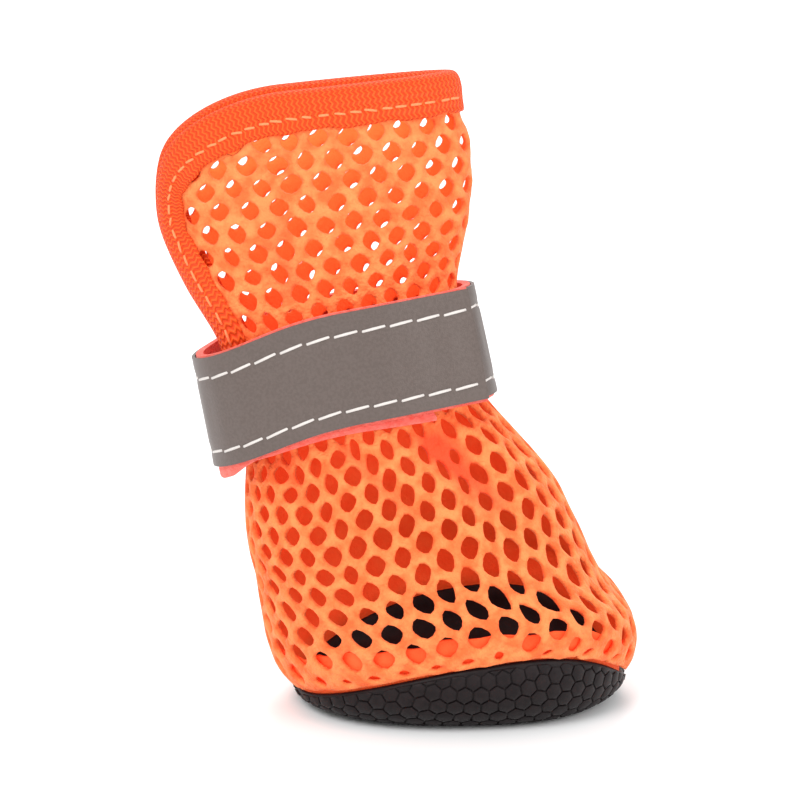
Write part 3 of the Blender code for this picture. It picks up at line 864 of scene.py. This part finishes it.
def sew(name, starts, ends, outward, radius):
    """A row of stitches, each a short bar of thread with round ends that lies on the cloth."""
    bpy.ops.mesh.primitive_uv_sphere_add(segments=8, ring_count=6, radius=1, location=(0, 0, 0))
    made = bpy.context.object
    made.name = made.data.name = name
    row = made.modifiers.new("row", "ARRAY")
    row.use_relative_offset = False
    row.count = len(starts)
    apply_modifiers(made)
    length = np.linalg.norm(ends - starts, axis=1)
    along = unit(ends - starts)
    side = unit(np.cross(outward, along))
    up = np.cross(along, side)
    wide, high, far = np.moveaxis(mesh_points(made).reshape(len(starts), -1, 3), -1, 0)
    reach = np.sign(np.round(far, 3)) * (length[:, None] / 2 - radius) + far * radius
    lift = (high * THREAD_FLATNESS - THREAD_DIP * far**2) * radius
    places = (starts + ends)[:, None] / 2 + along[:, None] * reach[..., None]
    move_points(made, places + side[:, None] * (wide * radius)[..., None] + up[:, None] * lift[..., None])
    face_outward(made, merge=False)
    bpy.ops.object.shade_smooth()
    return made


STITCH_PITCH = 0.00235
STITCH_SHARE = 0.76
BINDING_THREAD = 0.00022  # radius
count = int(ROUTE_LENGTH / STITCH_PITCH) - 1
begins = (np.arange(count) + rng.uniform(0.5, 0.66, count)) * STITCH_PITCH / ROUTE_LENGTH
ends = begins + STITCH_PITCH * STITCH_SHARE * rng.uniform(0.86, 1.08, count) / ROUTE_LENGTH
thread_rows = []
for side, out in (("outer", 0.00070), ("inner", -0.00202)):
    slip = rng.uniform(-0.00004, 0.00022, count)
    depth = np.full(count, THREAD_DEPTH)
    start = binding_points(begins, depth + slip, out)
    end = binding_points(ends, depth - slip, out)
    lifted = binding_points(begins, depth, out + math.copysign(0.0005, out))
    thread_rows.append(sew("binding_stitches_" + side, start, end, lifted - start, BINDING_THREAD))
binding_stitches = join_as("binding_stitches", *thread_rows)
binding_stitches.data.materials.append(material("peach_thread", (0.96, 0.24, 0.085), 0.65)[0])
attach(binding_stitches, "root")

# Loop patch: a short length of coral loop tape, woven of nylon with a brushed face. It is sewn flat to the
# near side of the net, under the strap, for the strap's free end to close on.
PATCH_THICKNESS = 0.0009
PATCH_WIDTH = 0.0155
PATCH_DROP = 0.0018
PATCH_FRONT_TURN = math.radians(60)
PATCH_BACK_TURN = math.radians(158)


def patch_place(u, v):
    turn = PATCH_BACK_TURN + (PATCH_FRONT_TURN - PATCH_BACK_TURN) * u
    level = STRAP_LEVEL - PATCH_DROP + (v - 0.5) * PATCH_WIDTH - droop_at(turn)
    return wall_points(turn, level, GAP + PATCH_THICKNESS / 2 + 0.0001 * np.sin(u * 60) * (1 - v))


patch = lay_grid("closing_patch", 60, 10, patch_place)
thicken(patch, PATCH_THICKNESS, smooth_levels=1)
bpy.ops.object.shade_smooth()
coral, tree, shader = material("coral_loop", (0.93, 0.115, 0.095), 0.9)
add_sheen(shader, 0.35, (1.0, 0.6, 0.55, 1.0))
spot, _ = two_tone(tree, shader, (0.93, 0.120, 0.085), (0.98, 0.180, 0.140), 900.0)
noise_bump(tree, shader, spot, 3800.0, 0.8, 0.0003)
patch.data.materials.append(coral)
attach(patch, "root")
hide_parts("loop_patch")

# Strap: a grey reflective tape on a coral backing, sewn together by two rows of white lockstitch. It is
# fixed to the front, goes once round behind the heel, where it stands off the net, and closes on the patch.
TAPE_THICKNESS = 0.0006
BACKING_THICKNESS = 0.0010
TAPE_FACE = BACKING_THICKNESS + GAP + TAPE_THICKNESS
HEEL_LOOP_GAP = 0.0027
FREE_END = 0.0100
STRAP_START_TURN = math.radians(34)
STRAP_END_TURN = math.radians(66)
STRAIGHT_TURN = math.radians(-270)
STRAP_TILT = math.radians(10.5)
STRAP_SWEEP = STRAP_END_TURN - 2 * math.pi - STRAP_START_TURN
STRAP_STEPS = 74
FREE_SHARE = 0.075


def strap_edge_points(turn, out):
    """Middle of the strap and the reach to its upper edge, its inner face this far out of its rest."""
    degrees = np.degrees(turn)
    loose = smooth_step((-degrees - 95) / 75) * smooth_step((degrees + 270) / 80)
    over_patch = 2 * GAP + PATCH_THICKNESS
    over_start = TAPE_FACE + 2 * GAP
    rest = GAP + (over_patch - GAP) * smooth_step((-degrees - 150) / 40)
    rest += (over_start - over_patch) * smooth_step((-degrees - 235) / 50)
    out = out + rest + (HEEL_LOOP_GAP - over_patch / 2) * loose
    low = wall_points(turn, STRAP_LOW - droop_at(turn), out)
    high = wall_points(turn, STRAP_HIGH - droop_at(turn), out)
    held = np.maximum(turn, STRAIGHT_TURN)
    rise = unit(wall_points(held, STRAP_HIGH, out) - wall_points(held, STRAP_LOW, out))
    tilted = np.stack([
        np.full(len(rise), -math.sin(STRAP_TILT)), rise[:, 1], np.full(len(rise), math.cos(STRAP_TILT)),
    ], axis=1)
    rise += (tilted - rise) * smooth_step((-degrees - 100) / 60)[:, None]
    return (low + high) / 2, unit(rise) * STRAP_WIDTH / 2


def strap_points(u, v, out):
    """Points of the strap by their share of its length, of its width and their distance out."""
    share = u * (1 + FREE_SHARE)
    turn = STRAP_START_TURN + STRAP_SWEEP * np.minimum(share, 1)
    middle, rise = strap_edge_points(turn, out)
    last = np.full_like(turn, STRAP_START_TURN + STRAP_SWEEP)
    end, _ = strap_edge_points(last, out)
    before, _ = strap_edge_points(last - STRAP_SWEEP / STRAP_STEPS, out)
    extra = np.maximum(share - 1, 0) / FREE_SHARE * FREE_END
    width = 2 * np.broadcast_to(v, u.shape) - 1
    return middle + rise * width[:, None] + unit(end - before) * extra[:, None]


# share of the width at which the two rows of stitches run
ROW_LOW = 0.140
ROW_HIGH = 0.812
PINCH_WIDTH = 0.045
PINCH_DEPTH = 0.00012
TAPE_RIPPLE = 0.00005
BACKING_PROUD = 0.0003
BACKING_SAG = 0.0016  # how far the backing hangs out below the tape behind the heel
SAG_DEGREES = -192
SAG_SPAN = 15
STRAP_FACES = 170


def tape_place(u, v):
    pinch = sum(np.exp(-(((v - row) / PINCH_WIDTH) ** 2)) for row in (ROW_LOW, ROW_HIGH))
    out = TAPE_FACE - TAPE_THICKNESS / 2 - PINCH_DEPTH * pinch
    return strap_points(u, v, out + TAPE_RIPPLE * np.sin(u * 170) * (1 - np.abs(2 * v - 1)))


def backing_place(u, v):
    wide = 1 + 2 * BACKING_PROUD / STRAP_WIDTH
    degrees = np.degrees(STRAP_START_TURN + STRAP_SWEEP * u * (1 + FREE_SHARE))
    sag = BACKING_SAG / STRAP_WIDTH * np.exp(-(((degrees - SAG_DEGREES) / SAG_SPAN) ** 2)) * (1 - v)
    return strap_points(u, 0.5 + (v - 0.5) * wide - sag, BACKING_THICKNESS / 2 + 0.0001)


tape = lay_grid("reflective_strap", STRAP_FACES, 24, tape_place)
thicken(tape, TAPE_THICKNESS - 0.0001)
bpy.ops.object.shade_smooth_by_angle(angle=math.radians(35))
backing = lay_grid("strap_lining", STRAP_FACES, 6, backing_place)
thicken(backing, BACKING_THICKNESS + 0.0001)
bpy.ops.object.shade_smooth_by_angle(angle=math.radians(50))
backing.data.materials.append(coral)
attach(backing, "root")
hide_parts("strap_backing")
reflective, tree, shader = material("reflective_grey", (0.11, 0.092, 0.084), 0.42)
shader.inputs["Metallic"].default_value = 0.15
spot, _ = two_tone(tree, shader, (0.098, 0.074, 0.064), (0.112, 0.085, 0.075), 2300.0, detail=1.0)
noise_bump(tree, shader, spot, 5200.0, 0.35, 0.0001)
tape.data.materials.append(reflective)
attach(tape, "root")
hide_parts("strap_tape")

LOCK_PITCH = 0.0042
LOCK_SHARE = 0.86
LOCK_SLIP = 0.00012 / STRAP_WIDTH
STRAP_THREAD = 0.00023  # radius
THREAD_SUNK = 0.00008
lines = np.linspace(0, 1, 400)
run = run_lengths(strap_points(lines, 0.5, TAPE_FACE))
rows = []
for share, phase in ((ROW_LOW, 0.2), (ROW_HIGH, 0.75)):
    begin = np.arange(0.0015 + phase * 0.0008, run[-1] - LOCK_PITCH, LOCK_PITCH)
    finish_at = begin + LOCK_PITCH * LOCK_SHARE
    u_begin, u_end = np.interp(begin, run, lines), np.interp(finish_at, run, lines)
    start = strap_points(u_begin, share - LOCK_SLIP, TAPE_FACE - THREAD_SUNK)
    end = strap_points(u_end, share + LOCK_SLIP, TAPE_FACE - THREAD_SUNK)
    lifted = strap_points(u_begin, share, TAPE_FACE - THREAD_SUNK + 0.0005)
    rows.append(sew("lockstitches", start, end, lifted - start, STRAP_THREAD))
lockstitches = join_as("strap_lockstitches", *rows)
lockstitches.data.materials.append(material("white_thread", (0.62, 0.58, 0.55), 0.5)[0])
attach(lockstitches, "root")

# Sole: one moulded sheet of black rubber, flat underfoot, its edge curled up all round and sewn to the net.
# Small six-sided studs with slightly round tops cover the whole outer face up to the seam.
SOLE_THICKNESS = 0.0018
RIM_LIP = 0.00024
CURL_AT_ENDS = 0.0062
CURL_AT_SIDES = 0.0078
STUD_PITCH = 0.0028
STUD_GROOVE = 0.00015
STUD_SHOULDER = 0.00055
STUD_DOME = 0.00015
STUD_DEPTH = 0.0005
STUD_BEVEL = 0.00016
STUD_PAST_RIM = 0.0008  # how far past the rim a stud's middle may lie
STUD_RIM_GAP = 0.00012


def sole_rim(turn):
    """Plan place of the rim, its reach from the middle, the width of its curl and its height."""
    plan = face_points(turn, np.zeros_like(turn))[..., :2]
    reach = np.linalg.norm(plan, axis=-1)
    curl = CURL_AT_ENDS + (CURL_AT_SIDES - CURL_AT_ENDS) * np.sin(turn) ** 2
    return plan, reach, curl, rim_height(turn)


def sole_points(turn, share, bend, inset):
    """Points of the sheet: a share of the flat floor where the bend is 0, and the curl above it."""
    plan, reach, curl, height = sole_rim(turn)
    radius = (reach - curl) * share + (curl - inset) * np.sin(bend)
    z = inset + (height - inset) * (1 - np.cos(bend))
    return np.concatenate([plan * (radius / reach)[:, None], z[:, None]], axis=1)


# share of the flat floor, bend in degrees and depth below the studs' tops in millimetres, from the middle
# of the underside over the rim to the middle of the inside
SOLE_PROFILE = np.array((
    (0.0, 0, 0.35), (0.35, 0, 0.35), (0.7, 0, 0.35), (1, 0, 0.35), (1, 14, 0.35), (1, 28, 0.35),
    (1, 42, 0.35), (1, 56, 0.35), (1, 70, 0.35), (1, 82, 0.35), (1, 90, 0.35), (1, 91, 0.7), (1, 91, 1.4),
    (1, 90, 1.8), (1, 78, 1.8), (1, 58, 1.8), (1, 36, 1.8), (1, 14, 1.8), (1, 0, 1.8), (0.7, 0, 1.8),
    (0.35, 0, 1.8), (0.0, 0, 1.8),
))


def sole_place(u, v):
    step = np.round(v * (len(SOLE_PROFILE) - 1)).astype(int)
    share, bend, inset = SOLE_PROFILE[step].T
    places = sole_points((2 * u - 1) * math.pi, share, np.radians(bend), inset / 1000)
    places[:, 2] += np.where(bend > 90, RIM_LIP, 0)
    return places


sole = lay_grid("rubber_sole", 96, len(SOLE_PROFILE) - 1, sole_place)
face_outward(sole)

CURL_SAMPLES = np.radians(np.linspace(0, 90, 25))
RIM_TURNS = np.linspace(math.pi, -math.pi, 241)
RIM_PLANS = face_points(RIM_TURNS, np.zeros_like(RIM_TURNS))[:, :2]
RIM_ANGLES = np.unwrap(np.arctan2(RIM_PLANS[:, 1], RIM_PLANS[:, 0]))


def unroll(x, y):
    """Rim values, curl lengths and distance from the middle of a place on the flat sheet."""
    angle = np.arctan2(y, x)
    turn = np.interp(angle, RIM_ANGLES, RIM_TURNS)
    plan, reach, curl, height = sole_rim(turn)
    steps = np.hypot(
        np.diff(np.sin(CURL_SAMPLES)) * curl[:, None], np.diff(1 - np.cos(CURL_SAMPLES)) * height[:, None]
    )
    lengths = np.insert(np.cumsum(steps, axis=1), 0, 0, axis=1)
    return plan, reach, curl, height, lengths, np.hypot(x, y)


def stud_wanted(x, y):
    _, reach, curl, _, lengths, distance = unroll(x, y)
    return distance < reach - curl + lengths[:, -1] + STUD_PAST_RIM


def stud_points(x, y, lift):
    """Places of the studs' points on the curled sheet, lift away from its outer face."""
    plan, reach, curl, height, lengths, distance = unroll(x, y)
    past = np.clip(distance - (reach - curl), 0, lengths[:, -1] - STUD_RIM_GAP)
    bend = np.array([np.interp(run, row, CURL_SAMPLES) for run, row in zip(past, lengths)])
    radius = np.minimum(distance, reach - curl) + curl * np.sin(bend)
    out, down = height * np.sin(bend), curl * np.cos(bend)
    size = np.hypot(out, down)
    way = plan / reach[:, None]
    place = np.concatenate([way * radius[:, None], (height * (1 - np.cos(bend)))[:, None]], axis=1)
    normal = np.concatenate([way * (out / size)[:, None], (-down / size)[:, None]], axis=1)
    return place + normal * lift[:, None]


STUD_COLUMNS = 24
STUD_ROWS = 28
STUD_START = -STUD_ROWS / 2 * STUD_PITCH * SIN_60
studs = cell_lattice(STUD_PITCH / 2, STUD_PITCH * SIN_60, 1 / 3, STUD_COLUMNS, STUD_ROWS, STUD_START)
keep_cells(studs, stud_wanted)
edit_all(studs)
bpy.ops.mesh.select_mode(type="FACE")
bpy.ops.mesh.inset(thickness=STUD_GROOVE, use_individual=True)
bpy.ops.mesh.select_all(action="INVERT")
bpy.ops.mesh.delete(type="FACE")
bpy.ops.mesh.select_all(action="SELECT")
bpy.ops.mesh.inset(thickness=STUD_SHOULDER, depth=STUD_DOME, use_individual=True)
bpy.ops.mesh.select_mode(type="EDGE")
bpy.ops.mesh.select_all(action="DESELECT")
bpy.ops.mesh.select_non_manifold(extend=False)
bpy.ops.mesh.extrude_region_move(TRANSFORM_OT_translate={"value": (0, 0, -STUD_DEPTH)})
bpy.ops.object.mode_set(mode="OBJECT")
flat = mesh_points(studs)
move_points(studs, stud_points(flat[:, 0], flat[:, 1], flat[:, 2] - flat[:, 2].max()))
face_outward(studs, merge=False)
soften = studs.modifiers.new("soften", "BEVEL")
soften.width = STUD_BEVEL
soften.segments = 2
soften.limit_method = "ANGLE"
soften.angle_limit = math.radians(55)
apply_modifiers(studs)
join_as("rubber_sole", sole, studs)
bpy.ops.object.shade_smooth()
rubber, tree, shader = material("black_rubber", (0.009, 0.0055, 0.006), 0.5)
shader.inputs["Specular IOR Level"].default_value = 0.18
spot, _ = two_tone(tree, shader, (0.0075, 0.0045, 0.005), (0.012, 0.0075, 0.008), 700.0)
noise_bump(tree, shader, spot, 3000.0, 0.3, 0.0001)
sole.data.materials.append(rubber)
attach(sole, "root")
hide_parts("sole")

# Insole: a thin black woven liner, cut a little smaller than the sole's flat floor. It lies loose on it
# and is the black that shows through the net's lower holes.
INSOLE_THICKNESS = 0.0010
INSOLE_MARGIN = 0.0006


def insole_place(u, v):
    turn = (2 * u - 1) * math.pi
    plan, reach, curl, _ = sole_rim(turn)
    radius = (reach - curl - INSOLE_MARGIN) * v
    z = np.full_like(radius, SOLE_THICKNESS + GAP + INSOLE_THICKNESS / 2)
    return np.concatenate([plan * (radius / reach)[:, None], z[:, None]], axis=1)


insole = lay_grid("black_insole", 72, 8, insole_place)
face_outward(insole)
thicken(insole, INSOLE_THICKNESS)
bpy.ops.object.shade_smooth_by_angle(angle=math.radians(40))
liner, tree, shader = material("black_liner", (0.012, 0.011, 0.011), 0.9)
spot, _ = two_tone(tree, shader, (0.010, 0.009, 0.009), (0.016, 0.014, 0.014), 1200.0)
noise_bump(tree, shader, spot, 2600.0, 0.6, 0.0002)
insole.data.materials.append(liner)
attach(insole, "root")
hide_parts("insole")
